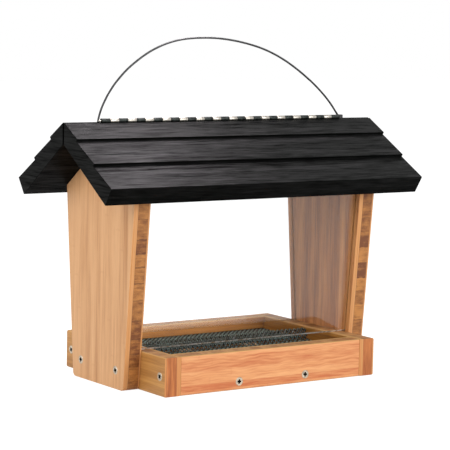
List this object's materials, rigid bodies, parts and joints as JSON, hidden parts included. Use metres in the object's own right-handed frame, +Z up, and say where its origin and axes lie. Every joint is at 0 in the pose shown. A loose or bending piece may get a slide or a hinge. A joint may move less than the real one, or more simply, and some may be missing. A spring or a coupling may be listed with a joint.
{
  "type": "hopper bird feeder",
  "caption": "Hopper bird feeder: bamboo end walls on a tray with a mesh floor, clear windows, and a clapboard roof hinged at the ridge under a cable hanger.",
  "frame": {"origin": "middle of the base, on the surface that the feeder stands on", "axes": "+X along the roof ridge, -Y towards the front window and the lifting roof panel, +Z up"},
  "size_m": [0.324, 0.1624, 0.2957],
  "materials": {
    "bamboo": "satin",
    "stained_bamboo": "satin",
    "clear_window": "gloss",
    "coated_mesh": "satin",
    "zinc_steel": "satin",
    "dark_hinge_steel": "satin",
    "coated_cable": "satin",
    "black_plastic": "matte"
  },
  "bodies": {
    "feeder": {"rear_roof_panel": "stained_bamboo", "left_end_wall": "bamboo", "right_end_wall": "bamboo", "front_window": "clear_window", "rear_window": "clear_window", "front_tray_board": "bamboo", "rear_tray_board": "bamboo", "left_tray_board": "bamboo", "right_tray_board": "bamboo", "left_cross_batten": "bamboo", "right_cross_batten": "bamboo", "mesh_floor": "coated_mesh", "hinge_fixed_leaf": "zinc_steel", "hinge_pin": "zinc_steel", "hinge_fixed_screws": "zinc_steel", "tray_corner_screws": "zinc_steel", "wall_screws": "zinc_steel", "batten_screws": "zinc_steel", "roof_screws": "dark_hinge_steel", "hanger_cable": "coated_cable", "cable_stops": "dark_hinge_steel", "cable_bushing": "black_plastic"},
    "lifting_roof": {"front_roof_panel": "stained_bamboo", "hinge_moving_leaf": "dark_hinge_steel", "hinge_moving_screws": "zinc_steel"}
  },
  "joints": [
    {"name": "roof_lift", "type": "hinge", "parent": "feeder", "child": "lifting_roof", "pos_m": [0, 0, 0.22424], "axis": [-1, 0, 0], "range_deg": [0, 110]}
  ]
}
